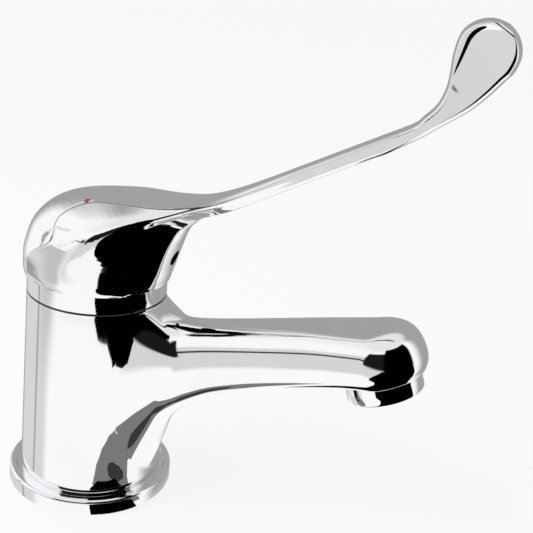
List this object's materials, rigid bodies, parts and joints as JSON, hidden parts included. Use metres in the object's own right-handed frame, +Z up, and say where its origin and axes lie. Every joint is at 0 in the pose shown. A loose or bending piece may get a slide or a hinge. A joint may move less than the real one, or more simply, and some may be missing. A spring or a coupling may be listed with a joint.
{
  "type": "elbow lever basin tap",
  "caption": "Deck-mounted single-lever basin mixer tap with a fixed spout and a long elbow lever ending in a round paddle, for hands-free use.",
  "frame": {"origin": "on the deck plane, on the column's axis in the middle of the base", "axes": "+X from the column towards the spout's outlet and the closed lever, +Z up, hot side at -Y"},
  "size_m": [0.1455, 0.054, 0.1673],
  "materials": {
    "chrome": "polished chrome plate on brass or zinc",
    "brass": "machined brass",
    "steel": "plain stainless steel",
    "ceramic": "lapped ceramic",
    "white_plastic": "moulded engineering plastic",
    "grey_plastic": "moulded engineering plastic",
    "rubber": "moulded rubber",
    "red_enamel": "enamel fill",
    "blue_enamel": "enamel fill"
  },
  "bodies": {
    "tap_body": {"body_casting": "chrome", "base_ring": "chrome", "base_seal": "rubber", "cartridge_base": "white_plastic", "port_seals": "rubber", "fixed_disc": "ceramic", "cartridge_housing": "white_plastic", "cartridge_nut": "brass", "bonnet_o_ring": "rubber", "cover_bonnet": "chrome", "aerator_ring": "chrome", "aerator_insert": "grey_plastic", "aerator_gasket": "rubber"},
    "turning_sleeve": {"rotating_sleeve": "grey_plastic", "pivot_pin": "steel"},
    "disc_pair": {"moving_disc": "ceramic", "disc_carrier": "grey_plastic"},
    "lever": {"lever_handle": "chrome", "lever_stem": "brass", "grub_screw": "steel", "hot_mark": "red_enamel", "cold_mark": "blue_enamel"}
  },
  "joints": [
    {"name": "lever_turn", "type": "hinge", "parent": "tap_body", "child": "turning_sleeve", "pos_m": [0, 0, 0.069], "axis": [0, 0, 1], "range_deg": [-50, 50]},
    {"name": "lever_lift", "type": "hinge", "parent": "turning_sleeve", "child": "lever", "pos_m": [0, 0, 0.069], "axis": [0, -1, 0], "range_deg": [0, 25]},
    {"name": "disc_slide", "type": "slide", "parent": "turning_sleeve", "child": "disc_pair", "axis": [1, 0, 0], "range_m": [0, 0.0034]}
  ],
  "couplings": [
    {"joint": "disc_slide", "follows": "lever_lift", "m_per_rad": 0.007749}
  ]
}
